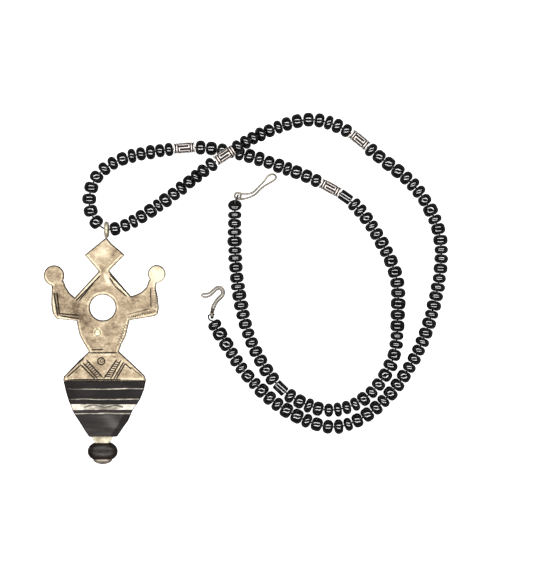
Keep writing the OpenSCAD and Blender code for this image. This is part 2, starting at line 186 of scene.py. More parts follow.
def swept_tube(bm, points, radius):
    """A round tube along points, with its ends rounded off."""
    rounding = [(0.5, 0.85), (0.85, 0.5)]
    last = len(points) - 1
    dirs = [(points[min(i + 1, last)] - points[max(i - 1, 0)]).normalized()
            for i in range(last + 1)]
    side, _ = axes_of(dirs[0])
    rings = []
    for i, (p, d) in enumerate(zip(points, dirs)):
        side = (side - d * side.dot(d)).normalized()
        up = d.cross(side)
        if i == 0:
            rings += [(p - d * radius * a, side, up, radius * b) for a, b in rounding[::-1]]
        rings.append((p, side, up, radius))
        if i == last:
            rings += [(p + d * radius * a, side, up, radius * b) for a, b in rounding]
    rows = [[bm.verts.new(p + r * (math.cos(t) * s + math.sin(t) * u)) for t in ring_angles(14)]
            for p, s, u, r in rings]
    grid_faces(bm, rows, caps=True)


# ---- materials -----------------------------------------------------------------------


class Look:
    """A node material, written from the texture coordinates to the surface."""

    def __init__(self, name):
        self.mat = bpy.data.materials.new(name)
        self.mat.use_nodes = True
        self.tree = self.mat.node_tree
        self.bsdf = self.tree.nodes["Principled BSDF"]
        self.coord = self.add("ShaderNodeTexCoord").outputs["Object"]

    def add(self, kind, **inputs):
        """A node with some of its inputs linked or set."""
        node = self.tree.nodes.new(kind)
        for key, value in inputs.items():
            self.put(node.inputs[key.replace("_", " ")], value)
        return node

    def put(self, socket, value):
        """Links a socket's output, or sets a plain value."""
        if isinstance(value, bpy.types.NodeSocket):
            self.tree.links.new(value, socket)
        else:
            socket.default_value = value

    def scaled(self, x, y, z, turn=0.0):
        """The coordinates stretched along each axis and turned about z."""
        node = self.add("ShaderNodeMapping", Vector=self.coord)
        node.inputs["Scale"].default_value = (x, y, z)
        node.inputs["Rotation"].default_value = (0, 0, turn)
        return node.outputs[0]

    def noise(self, scale, detail=4.0, rough=0.55, vector=None, warp=0.0):
        node = self.add("ShaderNodeTexNoise", Vector=vector or self.coord, Scale=scale,
                        Detail=detail, Roughness=rough, Distortion=warp)
        return node.outputs["Fac"]

    def ramp(self, fac, *stops):
        """A colour ramp; each stop is (place, colour or grey)."""
        node = self.add("ShaderNodeValToRGB", Fac=fac)
        el = node.color_ramp.elements
        while len(el) < len(stops):
            el.new(0.5)
        for e, (at, c) in zip(el, stops):
            e.position = at
            e.color = (c, c, c, 1) if isinstance(c, (int, float)) else (*c, 1)
        return node.outputs["Color"]

    def mix(self, fac, a, b):
        """Colour a where fac is 0 and b where it is 1, on the node's colour sockets."""
        node = self.tree.nodes.new("ShaderNodeMix")
        node.data_type = "RGBA"
        for key, value in ((0, fac), (6, a), (7, b)):
            if isinstance(value, tuple):
                value = (*value, 1)
            self.put(node.inputs[key], value)
        return node.outputs[2]

    def math(self, op, a, b):
        node = self.tree.nodes.new("ShaderNodeMath")
        node.operation = op
        self.put(node.inputs[0], a)
        self.put(node.inputs[1], b)
        return node.outputs[0]

    def plus(self, a, b, share):
        """a, and a share of b on top."""
        return self.math("ADD", a, self.math("MULTIPLY", b, share))

    def attribute(self, name):
        node = self.tree.nodes.new("ShaderNodeAttribute")
        node.attribute_name = name
        return node.outputs["Fac"]

    def bump(self, height, distance, strength):
        node = self.add("ShaderNodeBump", Height=height, Distance=distance,
                        Strength=strength)
        self.put(self.bsdf.inputs["Normal"], node.outputs[0])

    def surface(self, **inputs):
        """Sets the shader's own sockets and returns the material."""
        for key, value in inputs.items():
            if isinstance(value, tuple):
                value = (*value, 1)
            self.put(self.bsdf.inputs[key.replace("_", " ")], value)
        return self.mat


def black_glass():
    """Polished glass, with a faint cloud in its gloss."""
    look = Look("black_glass")
    cloud = look.noise(420, 3)
    colour = look.ramp(cloud, (0.3, (0.001, 0.001, 0.001)), (0.75, (0.003, 0.003, 0.003)))
    rough = look.ramp(look.noise(900, 4), (0.35, 0.05), (0.75, 0.16))
    look.bump(look.noise(1500, 3), 0.00005, 0.5)
    return look.surface(Base_Color=colour, Roughness=rough, IOR=1.65,
                        Specular_IOR_Level=1.0)


def antiqued_silver():
    """Tube silver: rubbed bright on the relief, black in the hollows."""
    look = Look("antiqued_silver")
    high = look.attribute("relief")
    blotch = look.noise(1400, 4)
    worn = look.plus(high, blotch, 0.3)
    colour = look.ramp(worn, (0.45, (0.006, 0.004, 0.0035)), (0.9, (0.16, 0.13, 0.12)),
                       (1.1, (0.86, 0.78, 0.72)))
    rough = look.ramp(blotch, (0.3, 0.5), (0.7, 0.36))
    look.bump(blotch, 0.00004, 0.6)
    return look.surface(Base_Color=colour, Metallic=0.55, Roughness=rough)


def wire_silver():
    """Thin wire, tarnished grey-brown with paler rubbed runs."""
    look = Look("wire_silver")
    drawn = look.noise(140, 3)
    colour = look.ramp(drawn, (0.34, (0.15, 0.125, 0.095)), (0.5, (0.25, 0.22, 0.17)),
                       (0.68, (0.40, 0.36, 0.29)))
    rough = look.ramp(look.noise(600, 3), (0.3, 0.36), (0.75, 0.46))
    look.bump(drawn, 0.00002, 0.3)
    return look.surface(Base_Color=colour, Metallic=1.0, Roughness=rough)


def sheet_silver(name, low, middle, high, speckle):
    """Hand-worked sheet: patchy warm tarnish, file marks, dark in the engraving, with painted shade and a painted
    highlight along the plate's edges.
    """
    look = Look(name)
    fine = look.noise(620, 5, 0.62)
    smear = look.noise(60, 4, vector=look.scaled(3, 9, 1, turn=0.3), warp=0.8)
    files = look.noise(60, 3, vector=look.scaled(14, 0.9, 1, turn=0.5))
    tone = look.attribute("tone")
    for patch in (fine, smear):
        tone = look.plus(tone, look.math("SUBTRACT", patch, 0.5), speckle)
    # this mask brightens the rubbed lines and, on the plate, paints a highlight along the lower edges
    tone = look.plus(tone, look.attribute("rub_and_highlight"), 0.5)
    colour = look.ramp(tone, (0.12, low), (0.5, middle), (0.95, high))
    # this mask darkens the engraving and the worn inlay ends and, on the plate, paints shade along the upper edges
    colour = look.mix(look.attribute("cut"), colour, (0.014, 0.010, 0.006))
    polish = look.plus(look.math("MULTIPLY", fine, 0.6), files, 0.4)
    rough = look.ramp(polish, (0.35, 0.52), (0.68, 0.36))
    look.bump(look.plus(look.math("MULTIPLY", fine, 0.5), files, 0.3), 0.0002, 0.5)
    return look.surface(Base_Color=colour, Metallic=0.6, Roughness=rough)


def plain_silver(name, low, high, metallic=0.6):
    """Sheet silver on the small fittings, without engraving."""
    look = Look(name)
    patch = look.noise(330, 5, 0.6, warp=0.5)
    colour = look.ramp(patch, (0.32, low), (0.68, high))
    rough = look.ramp(look.noise(1100, 4), (0.3, 0.5), (0.7, 0.34))
    look.bump(patch, 0.0002, 0.5)
    return look.surface(Base_Color=colour, Metallic=metallic, Roughness=rough)


def ebony_wood():
    """Dry ebony with its grain across the skirt, paler or darker where the tone attribute says, which also holds
    painted shade and a painted highlight.
    """
    look = Look("ebony_wood")
    grain = look.noise(210, 6, 0.6, vector=look.scaled(0.35, 5.0, 3.0), warp=0.3)
    pores = look.noise(900, 4, 0.5, vector=look.scaled(0.4, 6.0, 4.0))
    grain = look.math("ADD", look.math("MULTIPLY", grain, 0.6), look.attribute("tone"))
    colour = look.ramp(grain, (0.25, (0.008, 0.0055, 0.005)),
                       (0.55, (0.028, 0.023, 0.0215)), (0.95, (0.085, 0.078, 0.073)))
    rough = look.ramp(pores, (0.3, 0.66), (0.7, 0.5))
    look.bump(look.math("ADD", grain, pores), 0.00016, 0.6)
    return look.surface(Base_Color=colour, Roughness=rough, Specular_IOR_Level=0.2)


def dark_horn():
    """The tip: darker, closer and more polished than the skirt."""
    look = Look("dark_horn")
    grain = look.noise(300, 5, 0.6, vector=look.scaled(0.5, 4.0, 2.0))
    colour = look.ramp(grain, (0.3, (0.005, 0.0035, 0.003)), (0.7, (0.026, 0.018, 0.014)))
    rough = look.ramp(look.noise(900, 3), (0.3, 0.42), (0.7, 0.3))
    look.bump(grain, 0.0001, 0.5)
    return look.surface(Base_Color=colour, Roughness=rough, Specular_IOR_Level=0.35)


def waxed_thread():
    """Black thread with a fine twist."""
    look = Look("waxed_thread")
    twist = look.add("ShaderNodeTexWave", Vector=look.coord, Scale=900.0, Distortion=1.0)
    colour = look.ramp(twist.outputs["Fac"], (0.2, (0.012, 0.012, 0.012)),
                       (0.8, (0.05, 0.048, 0.045)))
    look.bump(twist.outputs["Fac"], 0.00008, 0.8)
    return look.surface(Base_Color=colour, Roughness=0.65)


GLASS = black_glass()
TUBE_SILVER = antiqued_silver()
WIRE = wire_silver()
PLATE = sheet_silver("plate_silver", (0.15, 0.10, 0.06), (0.48, 0.375, 0.245),
                     (0.95, 0.83, 0.60), speckle=0.62)
INLAY = sheet_silver("inlay_silver", (0.12, 0.105, 0.09), (0.4, 0.36, 0.30),
                     (0.95, 0.88, 0.74), speckle=0.6)
STUD = plain_silver("stud_silver", (0.55, 0.52, 0.28), (0.95, 0.93, 0.68))
FITTING = plain_silver("fitting_silver", (0.3, 0.25, 0.17), (0.85, 0.78, 0.58))
DULL = plain_silver("dull_silver", (0.14, 0.11, 0.09), (0.42, 0.35, 0.29), 0.5)
EBONY = ebony_wood()
HORN = dark_horn()
THREAD = waxed_thread()

# ---- camera, light and floor ---------------------------------------------------------


def make_camera():
    """Straight above, with the necklace placed in the frame as it is laid out."""
    height = 1.0
    cam = bpy.data.cameras.new("camera")
    cam.lens, cam.sensor_width = 174.0, 36.0
    cam.clip_end = 20.0
    obj = bpy.data.objects.new("camera", cam)
    obj.location = ((5.87 + LAYOUT_X) * MM, 0.36 * MM, height)
    bpy.context.scene.collection.objects.link(obj)
    bpy.context.scene.camera = obj


def strip_light(name, at, size, power):
    """A long soft light aimed at the middle of the table."""
    light = bpy.data.lights.new(name, "AREA")
    light.shape, light.energy = "RECTANGLE", power
    light.size, light.size_y = size
    obj = bpy.data.objects.new(name, light)
    obj.location = at
    obj.rotation_mode = "QUATERNION"
    obj.rotation_quaternion = (Vector() - Vector(at)).to_track_quat("-Z", "Y")
    bpy.context.scene.collection.objects.link(obj)


def make_light():
    """Two long tubes over the table, and a dim even surround."""
    for side in (-1, 1):
        strip_light(f"strip_{side:+d}", (0, side * 0.45, 1.0), size=(2.2, 0.2), power=14)
    world = bpy.data.worlds.new("surround")
    bpy.context.scene.world = world
    world.use_nodes = True
    background = world.node_tree.nodes["Background"]
    background.inputs["Color"].default_value = (1, 1, 1, 1)
    background.inputs["Strength"].default_value = 0.05


def make_floor():
    """A white table top, lit from behind towards the camera and dark to other rays."""
    bpy.ops.mesh.primitive_plane_add(size=6.0)
    floor = bpy.context.object
    floor.name = "floor"
    look = Look("backlit_floor")
    seen = look.add("ShaderNodeLightPath").outputs["Is Camera Ray"]
    colour = look.mix(seen, (0.1, 0.1, 0.1), (0.92, 0.92, 0.92))
    look.surface(Base_Color=colour, Roughness=0.95, Specular_IOR_Level=0.0,
                 Emission_Color=(1.0, 1.0, 1.0),
                 Emission_Strength=look.math("MULTIPLY", seen, 0.85))
    floor.data.materials.append(look.mat)


# ---- the thread ----------------------------------------------------------------------


def make_thread():
    """One waxed thread from the eye's coil, through every bead, to the hook's coil."""
    line = [EYE_AT + Vector(v) for v in ((0.15, 0.15, 0.5), (0, 0, 1.2), (-0.15, -0.6, 1.9))]
    line += [FIRST_AT + FIRST_UP * along for along in (1.35, -0.2, -1.25)]
    line += STRAND[4::2]
    line += [HOOK_AT + Vector(v) for v in ((-0.8, -1.95, 0.7), (-1.35, -1.1, 0.45),
                                           (-1.35, -0.3, 0.05), (-0.75, 0, 0), (0.9, 0, 0))]
    curve = bpy.data.curves.new("thread", "CURVE")
    curve.dimensions = "3D"
    curve.bevel_depth = THREAD_D / 2 * MM
    curve.bevel_resolution = 3
    curve.use_fill_caps = True
    spline = curve.splines.new("POLY")
    spline.points.add(len(line) - 1)
    for point, co in zip(spline.points, line):
        point.co = (*(co * MM), 1)
    obj = bpy.data.objects.new("thread", curve)
    bpy.context.scene.collection.objects.link(obj)
    curve.materials.append(THREAD)
    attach(obj, "necklace")
    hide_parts("stringing_thread")


# ---- glass beads ---------------------------------------------------------------------


def bead_place(corners):
    """Centre, axis, width and radius of one CAD bead, measured from its corners."""
    centre = (corners.min(0) + corners.max(0)) / 2
    near = min(range(1, len(STRAND) - 1),
               key=lambda i: (STRAND[i] * MM - Vector(centre)).length)
    along = (STRAND[near + 1] - STRAND[near - 1]).normalized()
    most_degrees_off = 12
    if (Vector(centre) - FIRST_AT * MM).length < 1 * MM:
        along, most_degrees_off = -FIRST_UP, 4
    spread = np.cov((corners - centre).T)
    _, vectors = np.linalg.eigh(spread)
    axis = max((Vector(vectors[:, k]) for k in range(3)), key=lambda v: abs(v.dot(along)))
    if axis.dot(along) < 0:
        axis = -axis
    if axis.dot(along) < math.cos(math.radians(most_degrees_off)):
        axis = along
    offset = corners - centre
    x = offset @ np.array(axis)
    radius = np.sqrt(np.maximum((offset**2).sum(1) - x**2, 0)).max()
    return Vector(centre), axis, x.max() - x.min(), radius


def glass_bead(bm, centre, axis, width, radius, rng):
    """A wound glass bead: a rounded barrel, a little out of round and uneven in width."""
    side, up = axes_of(axis)
    hole, half = 0.8 * MM, width / 2
    soft = min(1.5 * MM, half - 0.06 * MM)
    waves = [(k, rng.uniform(0, 2 * math.pi), rng.uniform(0.2, 1.0) * most)
             for k, most in ((2, 0.014), (3, 0.006))]
    wedge, wedge_at = rng.uniform(0.0, 0.03), rng.uniform(0, 2 * math.pi)
    belly, shear = rng.uniform(0.0, 0.05), rng.uniform(-0.04, 0.04)

    # the half profile from the drilled hole, round the shoulder, to the middle
    profile = [(half - 0.45 * MM, hole), (half - 0.16 * MM, hole + 0.02 * MM),
               (half - 0.03 * MM, hole + 0.14 * MM), (half, hole + 0.35 * MM)]
    profile += [(half - soft + soft * math.cos(a), radius - soft + soft * math.sin(a))
                for a in (math.pi / 2 * k / 7 for k in range(8))]
    profile += [(0.0, radius)]
    profile += [(-x, r) for x, r in reversed(profile[:-1])]
    rows = []
    for x, r in profile:
        rows.append([])
        crown = r - belly * soft * (x / half) ** 2 if r > radius - soft else r
        for t in ring_angles(40):
            out = 0.99 + sum(amp * math.cos(n * t + ph) for n, ph, amp in waves)
            lean = 1 + wedge * (math.cos(t + wedge_at) - 1) / 2
            place = x * lean + shear * crown * math.cos(t) * 0.3
            rows[-1].append(bm.verts.new(
                centre + axis * place + side * (crown * out * math.cos(t))
                + up * (crown * out * math.sin(t))))
    grid_faces(bm, rows + [rows[0]])


def make_beads():
    """Every bead of a CAD node becomes one glass bead in the same place."""
    rng = random.Random(7)
    for name in sorted((n for n in NODES if n.startswith("beads_")),
                       key=lambda n: int(n.split("_")[1])):
        bm = bmesh.new()
        for corners in solids(name):
            glass_bead(bm, *bead_place(corners), rng)
        new_piece(f"glass_{name}", bm, "necklace", name, GLASS)


# ---- tubes on the strand -------------------------------------------------------------


def joint_frame(name):
    """Where a joint is, and its axis."""
    joint = JOINTS[name]
    return Vector(joint["pos_m"]), Vector(joint["axis"]).normalized()


def silver_tube(index):
    """A cast tube: two ring lines at each end, and a squared meander between them."""
    centre, axis = joint_frame(f"silver_tube_{index}_spin")
    side, up = axes_of(axis)
    length, radius, hole, depth = 7.5, 1.95, 0.85, 0.3
    field, line, lanes = 3.9, 0.46, 10
    flank = 0.09
    ring_gap = (length - field - 4 * line) / 4
    ring_lines = [field / 2 + ring_gap + line / 2, length / 2 - line / 2]
    start = math.pi / lanes
    hand = -1 if index == 2 else 1
    around, across = 180, 110

    def crown(off):
        """1 over the middle of a raised line, 0 beside it, with steep flanks between."""
        return max(0.0, min(1.0, (line / 2 - abs(off)) / flank + 0.5))

    def relief(x, t):
        """Height from 0, the ground, to 1, the crown, at x along and t around."""
        high = max(crown(abs(x) - at) for at in ring_lines)
        lane = t / (2 * math.pi) * lanes
        edge = (lane - round(lane)) * 2 * math.pi / lanes * radius
        if abs(x) < field / 2 + 0.05:
            turn = hand if int(math.floor(lane)) % 2 == 0 else -hand
            high = max(high, crown(edge), crown(x - turn * (field / 2 - line / 2)))
        return high

    bm = bmesh.new()
    layer = bm.verts.layers.float.new("relief")
    grid = []

    def ring(x, heights, radii):
        """One ring of points at x along the tube."""
        grid.append([])
        for t, high, r in zip(ring_angles(around), heights, radii):
            v = bm.verts.new(centre + MM * (axis * x + side * (r * math.cos(t + start))
                                            + up * (r * math.sin(t + start))))
            v[layer] = high
            grid[-1].append(v)

    for j in range(across + 1):
        x = length * (j / across - 0.5)
        heights = [relief(x, t) for t in ring_angles(around)]
        ring(x, heights, [radius - depth * (1 - h) for h in heights])
    mouth, throat = length / 2 - 0.03, length / 2 - 0.15
    for x, r, high in ((mouth, hole + 0.3, 0.5), (throat, hole, 0.0),
                       (-throat, hole, 0.0), (-mouth, hole + 0.3, 0.5)):
        ring(x, [high] * around, [r] * around)
    grid_faces(bm, grid + [grid[0]])
    new_piece(f"cast_tube_{index}", bm, f"tube_{index}",
              f"silver_tube_{index}", TUBE_SILVER)


def black_tube(index):
    """A short cut length of black glass cane with fire-rounded ends."""
    centre, axis = joint_frame(f"black_tube_{index}_spin")
    side, up = axes_of(axis)
    half, radius, hole, soft = 2.33 * MM, 1.9 * MM, 0.85 * MM, 0.42 * MM
    profile = [(-half + soft * (1 - math.cos(a)), radius - soft * (1 - math.sin(a)))
               for a in (math.pi / 2 * k / 6 for k in range(7))]
    profile += [(-x, r) for x, r in reversed(profile)]
    profile += [(half - 0.05 * MM, hole + 0.3 * MM), (half - 0.3 * MM, hole),
                (-half + 0.3 * MM, hole), (-half + 0.05 * MM, hole + 0.3 * MM)]
    bm = bmesh.new()
    rows = [[bm.verts.new(centre + axis * x + r * (side * math.cos(t) + up * math.sin(t)))
             for t in ring_angles(48)] for x, r in profile]
    grid_faces(bm, rows + [rows[0]])
    new_piece(f"cane_tube_{index}", bm, f"dark_tube_{index}",
              f"black_tube_{index}", GLASS)


# ---- clasp ---------------------------------------------------------------------------

# The eye's wire from its coil, round the loop and back.
EYE_LINE = [
    (0.1, 1.1, 0.38), (1.37, 0.78, 0.4), (3.35, 0.65, 0.4), (5.25, 1.1, 0.4),
    (6.2, 1.8, 0.4), (7.67, 3.35, 0.4), (9.6, 5.3, 0.4), (10.6, 6.8, 0.4),
    (11.55, 7.5, 0.4), (12.65, 7.7, 0.4), (13.55, 7.25, 0.4), (13.75, 6.4, 0.4),
    (12.95, 5.5, 0.4), (11.3, 4.5, 0.4), (9.75, 3.6, 0.4), (8.05, 2.2, 0.4),
    (6.6, 0.7, 0.4), (5.3, -0.1, 0.4), (3.4, -0.85, 0.42), (1.6, -1.2, 0.6),
    (0.1, -1.1, 0.98)]

# The hook's middle line, and how far each of its two wires is from it.
HOOK_LINE = [
    (0.15, 1.35, -0.3, 0.38), (0.2, 1.9, -0.7, 0.38), (0.55, 3, -1, 0.5),
    (1, 3.95, -1.15, 0.43), (1.5, 4.7, -1.2, 0.43), (2.45, 5.8, -1.2, 0.46),
    (3.45, 6.75, -1.2, 0.47), (3.9, 7.8, -1.2, 0.42), (3.7, 8.85, -1.2, 0.42),
    (2.75, 9.65, -1.2, 0.43), (1.65, 9.45, -1.2, 0.44), (0.3, 8.35, -1.2, 0.46),
    (-0.95, 7.3, -1.2, 0.5), (-2.5, 6.9, -1.2, 0.62), (-3.45, 7, -1.2, 0.45)]


def make_eye():
    """Wire wound round the thread, then drawn out into a narrow loop."""
    wire_r, turns, steps = 0.36, 1.62, 44
    start, foot, rise = math.pi / 2 + 0.35, 0.38, 0.6
    wound = []
    for k in range(steps + 1):
        a = start + k / steps * turns * 2 * math.pi
        wound.append(Vector((COIL_R * math.cos(a), COIL_R * math.sin(a),
                             foot + rise * k / steps)))
    bm = bmesh.new()
    for run in (wound, smooth_line(EYE_LINE, 5)):
        swept_tube(bm, [(p + EYE_AT) * MM for p in run], wire_r * MM)
    new_piece("eye_loop", bm, "eye", "eye_wire", WIRE)


def make_hook():
    """Doubled wire bent to a hook, with its end wound twice round the thread."""
    wire_r, turns, steps = 0.365, 2, 40
    start, coil_length = 0.4, 0.64
    middle = smooth_line(HOOK_LINE, 4)

    def beside(side):
        """The wire on one side of the middle line."""
        out = []
        for i, p in enumerate(middle):
            d = middle[min(i + 1, len(middle) - 1)] - middle[max(i - 1, 0)]
            n = Vector((-d.y, d.x)).normalized()
            out.append(Vector((p.x + side * p.w * n.x, p.y + side * p.w * n.y, p.z)))
        return out

    end = middle[-1]
    d = end - middle[-2]
    tip = end.xyz + 0.9 * end.w * Vector((d.x, d.y, 0)).normalized()
    doubled = beside(1) + [tip] + beside(-1)[::-1]
    wound = []
    for k in range(steps + 1):
        a = start + k / steps * turns * 2 * math.pi
        wound.append(Vector((coil_length * (k / steps - 0.5),
                             COIL_R * math.cos(a), COIL_R * math.sin(a))))
    bm = bmesh.new()
    for run in (wound, doubled):
        swept_tube(bm, [(p + HOOK_AT) * MM for p in run], wire_r * MM)
    new_piece("hook_bend", bm, "hook", "hook_wire", WIRE)


# ---- the doll's silver plate ---------------------------------------------------------

PLATE_T = 1.4
SKIRT_TOP, SKIRT_END = -26.5, -46.3

# Engraved lines on the front, drawn from the chest hole's centre: two ends and a depth.
ENGRAVED = [
    # shoulders
    ((-0.9, 11.4), (-9.6, 2.4), 1.0), ((-3.2, 8.8), (-8.4, 2.5), 0.9),
    ((2.6, 11.8), (9.6, 4.5), 1.0), ((2.5, 10.8), (4.3, 7.7), 0.8),
    ((4.3, 7.7), (8.6, 4), 0.8),
    # left arm
    ((-17.5, 5.1), (-16.1, -2.9), 1.0), ((-16.4, 5.3), (-15.5, -2.5), 1.0),
    ((-15.3, -2.2), (-8.3, -2.8), 0.9), ((-15.2, -3), (-8.6, -4.1), 0.9),
    # right arm
    ((17.2, 7), (17.4, 0.1), 0.5), ((8.6, -2.6), (17.2, -0.4), 0.45),
    # waist
    ((-4, -15.2), (0.3, -15.1), 0.8), ((-4.5, -16.3), (5, -16.2), 0.8),
    # yoke
    ((-5.7, -18.9), (0, -25.1), 1.0), ((-6.9, -20), (-2, -25.4), 1.0),
    ((-7.8, -20.6), (-3, -25.5), 1.0), ((5, -18.8), (0.4, -25.5), 1.0),
    ((6.6, -18.9), (3, -25.5), 0.9), ((7.5, -19.7), (4.1, -25.5), 0.9),
    ((8.1, -20.2), (5, -25.5), 0.9), ((8.2, -20.2), (10.2, -22.1), 0.8),
    ((-8, -20.8), (-12.6, -24.9), 0.9), ((9.9, -21.3), (14, -24.7), 0.5),
    ((-12.4, -26), (6.2, -26), 0.9), ((-6.6, -18.1), (-11.6, -22.6), 0.8)]

# Fine scratches beside the hole, at the left armpit and on the belly.
SCRATCHES = [
    ((-6.8, 3.6), (-4.6, 3.7), 0.35), ((-7.1, 2.7), (-4.9, 2.8), 0.35),
    ((-7, 1.9), (-5.2, 2.0), 0.35), ((-9.6, -0.6), (-6.3, -1.3), 0.35),
    ((-9, -1.5), (-6.4, -2.3), 0.4), ((-7.9, -4.9), (-3.7, -7.4), 0.3),
    ((-5.4, -9.2), (-3.4, -8.9), 0.35), ((-4.2, -12.4), (2.6, -12.9), 0.25),
    ((3.8, 8.4), (5, 7.2), 0.3), ((-2.2, -14.1), (3, -14.2), 0.3),
    ((5.6, 21.6), (2.2, 16.6), 0.3)]

# Rings on the yoke: centre, radius, half width and depth.
RINGS = [((-0.5, -19.3), 1.25, 0.27, 1.0), ((-0.3, -19.2), 0.5, 0.2, 0.6)]

# Rows of rocked zigzag: two ends, half width and pitch.
ZIGZAG = [((9.2, -3.7), (19.2, -1.2), 0.5, 0.85), ((19.2, -0.4), (19, 6.8), 0.42, 0.85),
          ((8.3, -5.8), (5.4, -14.2), 0.6, 1.0)]

# Rubbed bright: two ends, half width and strength.
RUBBED = [((-10, 2.3), (-1, 12.1), 0.5, 0.7), ((-18, 4.6), (-16.9, -3), 0.45, 0.9),
          ((-15.6, -3.5), (-8.6, -4.4), 0.35, 0.8), ((3.2, 10.6), (9.4, 4.1), 0.45, 0.7),
          ((0.5, 11.8), (2.6, 8.4), 0.8, 0.6), ((-12.8, -25.2), (-6, -19), 0.45, 0.6),
          ((6.1, -20.2), (3.4, -25), 0.8, 0.5), ((-12, -26.3), (15.4, -26.3), 0.35, 0.7),
          ((10.8, -20.9), (15, -24.8), 0.4, 0.5), ((-4, -17), (5, -17), 0.5, 0.3)]


def zigzag_strokes():
    """The strokes of every zigzag row, as engraved lines."""
    out = []
    for a, b, half, pitch in ZIGZAG:
        a, b = Vector(a), Vector(b)
        d = (b - a).normalized()
        n = Vector((-d.y, d.x))
        count = int((b - a).length / pitch * 2)
        spots = [a + d * (k * pitch / 2) + n * (half if k % 2 else -half)
                 for k in range(count + 1)]
        out += [(p, q, 0.4) for p, q in zip(spots, spots[1:])]
    return out


def hatch_strokes():
    """Short strokes across the two bands of the yoke."""
    out = []
    bands = [((-5.7, -18.9), (0, -25.1), (-6.9, -20), (-2, -25.4)),
             ((5, -18.8), (0.4, -25.5), (6.6, -18.9), (3, -25.5))]
    gaps, slant = 9, 0.035
    for inner_a, inner_b, outer_a, outer_b in bands:
        for i in range(1, gaps):
            t = i / gaps
            out.append((Vector(inner_a).lerp(Vector(inner_b), t),
                        Vector(outer_a).lerp(Vector(outer_b), t + slant), 0.7))
    return out


def loops_at(node, z):
    """The closed outlines of a CAD node's flat face at height z, outer one first."""
    bm = bmesh.new()
    bm.from_mesh(NODES[node].data)
    bmesh.ops.remove_doubles(bm, verts=bm.verts, dist=1e-7)
    flat = {f for f in bm.faces if all(abs(v.co.z - z) < 2e-6 for v in f.verts)}
    rim = [e for e in bm.edges if sum(f in flat for f in e.link_faces) == 1]
    ties = {}
    for e in rim:
        for v in e.verts:
            ties.setdefault(v, []).append(e)
    loops, left = [], dict.fromkeys(rim)
    while left:
        edge, _ = left.popitem()
        loop = [edge.verts[0]]
        v = edge.verts[1]
        while v != loop[0]:
            loop.append(v)
            following = [e for e in ties[v] if e in left]
            if not following:
                break
            edge = following[0]
            left.pop(edge)
            v = edge.other_vert(v)
        loops.append([v.co.xy.copy() for v in loop])
    bm.free()

    def area(loop):
        """The loop's area, positive where it runs anticlockwise."""
        return sum(a.x * b.y - b.x * a.y for a, b in zip(loop, loop[1:] + loop[:1])) / 2

    loops.sort(key=lambda loop: -abs(area(loop)))
    return [loop if (area(loop) > 0) == (i == 0) else loop[::-1]
            for i, loop in enumerate(loops)]


def resampled(loop, step):
    """Points every step along a closed loop, keeping its corners a little rounded."""
    out = []
    for a, b in zip(loop, loop[1:] + loop[:1]):
        n = max(1, round((b - a).length / step))
        out += [a.lerp(b, k / n) for k in range(n)]
    for _ in range(2):
        out = [0.25 * out[i - 1] + 0.5 * out[i] + 0.25 * out[(i + 1) % len(out)]
               for i in range(len(out))]
    return out


def line_depths(points, strokes, half):
    """How deep the strokes cut at each point, from 0 to 1."""
    depth = np.zeros(len(points))
    for a, b, amount in strokes:
        a, b = np.array(a), np.array(b)
        d = b - a
        t = np.clip(((points - a) @ d) / (d @ d), 0, 1)
        off = np.linalg.norm(points - a - np.outer(t, d), axis=1)
        ends = 0.55 + 0.45 * np.clip(np.minimum(t, 1 - t) * 8, 0, 1)
        depth = np.maximum(depth, amount * ends * np.clip(1 - (off / half) ** 2, 0, 1))
    return depth


def inside(points, loops):
    """Which points are within the outer loop and outside the holes."""
    hit = np.zeros(len(points), dtype=int)
    for loop in loops:
        p = np.array([q[:] for q in loop])
        for a, b in zip(p, np.roll(p, -1, axis=0)):
            if a[1] == b[1]:
                continue
            crosses = (a[1] > points[:, 1]) != (b[1] > points[:, 1])
            x = a[0] + (points[:, 1] - a[1]) * (b[0] - a[0]) / (b[1] - a[1])
            hit += crosses & (points[:, 0] < x)
    return hit % 2 == 1


def rim_of(loops):
    """The points along the sheet's outlines, their inward normals and their edges."""
    points, normals, edges = [], [], []
    for loop in loops:
        first = len(points)
        for i, p in enumerate(loop):
            d = loop[(i + 1) % len(loop)] - loop[i - 1]
            points.append(p)
            normals.append(Vector((-d.y, d.x)).normalized())
            edges.append((first + i, first + (i + 1) % len(loop)))
    return points, normals, edges


def sheet_points(rim, normals, loops, tree):
    """The rim, four rows inside it for the filed edge, and an even grid over the rest."""
    points = list(rim)
    for reach in (0.07, 0.18, 0.32, 0.5):
        for p, n in zip(rim, normals):
            q = p + n * reach
            if tree.find((q.x, q.y, 0))[2] > reach * 0.93:
                points.append(q)
    step, margin = 0.15, 0.6
    corners = np.array([p[:] for p in rim])
    xs, ys = (np.arange(lo, hi, step) for lo, hi in zip(corners.min(0), corners.max(0)))
    grid = np.array([(x + (j % 2) * step / 2, y) for j, y in enumerate(ys) for x in xs])
    points += [Vector((x, y)) for x, y in grid[inside(grid, loops)]
               if tree.find((x, y, 0))[2] > margin]
    return points


def triangulated(points, edges, loops):
    """The points, as an array, and the triangles of a flat sheet within the loops."""
    coords, _, faces, _, _, _ = geometry.delaunay_2d_cdt(points, edges, [], 0, 1e-6)
    xy = np.array([c[:] for c in coords])
    mids = np.array([xy[list(f)].mean(0) for f in faces])
    return xy, [f for f, keep in zip(faces, inside(mids, loops)) if keep]


